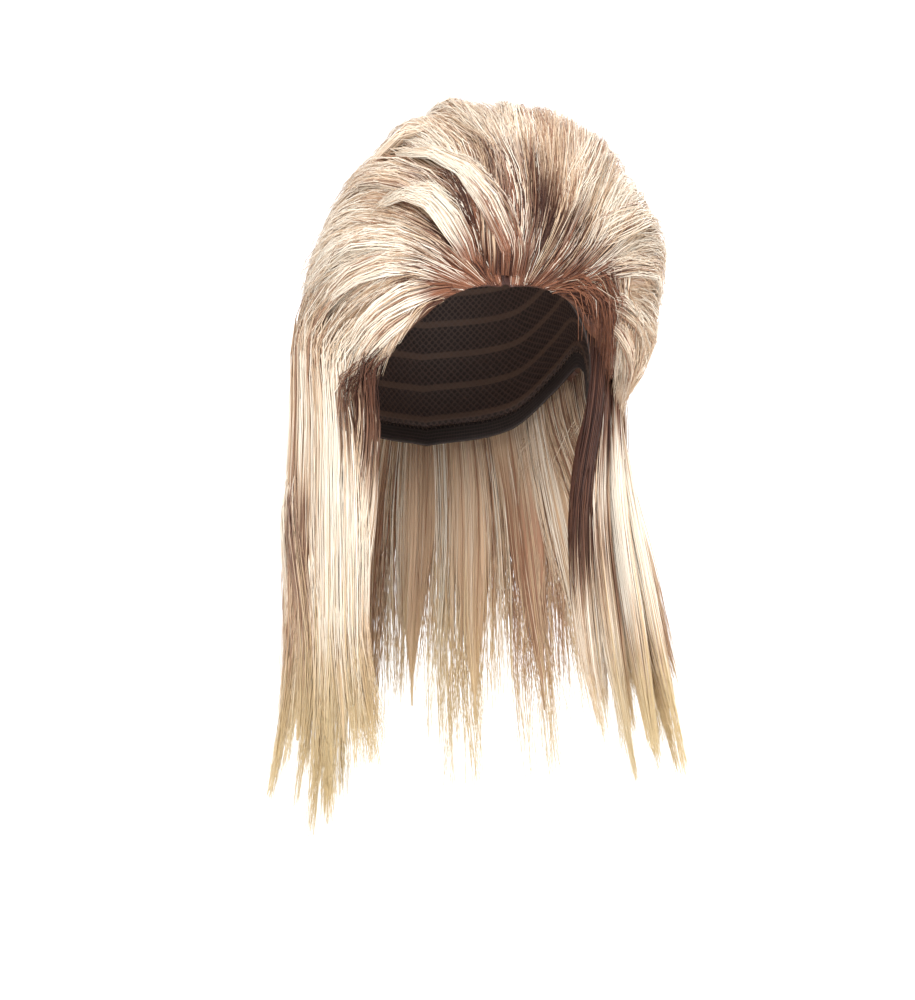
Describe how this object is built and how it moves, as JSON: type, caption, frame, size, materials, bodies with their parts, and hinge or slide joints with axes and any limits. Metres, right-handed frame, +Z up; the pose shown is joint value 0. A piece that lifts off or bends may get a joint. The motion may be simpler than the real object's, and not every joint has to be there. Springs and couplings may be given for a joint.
{
  "type": "mullet wig",
  "caption": "Long synthetic mullet wig: teased short hair swept back from the forehead over a stretch net cap, with long straight locks behind the ears and down the back",
  "frame": {"origin": "The crown of the head, the point where the cap's lining rests on it", "axes": "+Z up along the wearer's head, -Y the way the face looks, +X the wearer's left"},
  "size_m": [0.2717, 0.2224, 0.4584],
  "materials": {
    "cap_net": "dark brown stretch net",
    "elastic": "woven elastic band, nearly black",
    "short_hair": "glossy synthetic fibre, blonde with ivory highlights over brown roots",
    "long_hair": "glossy straight synthetic fibre, brown at the roots to pale beige at the tips"
  },
  "bodies": {
    "root": {"cap": "cap_net", "edge_band": "elastic", "crown_hair": "short_hair", "left_side_hair": "short_hair", "right_side_hair": "short_hair", "back_layers": "short_hair", "left_long_hair": "long_hair", "right_long_hair": "long_hair", "back_long_hair": "long_hair"}
  },
  "joints": []
}
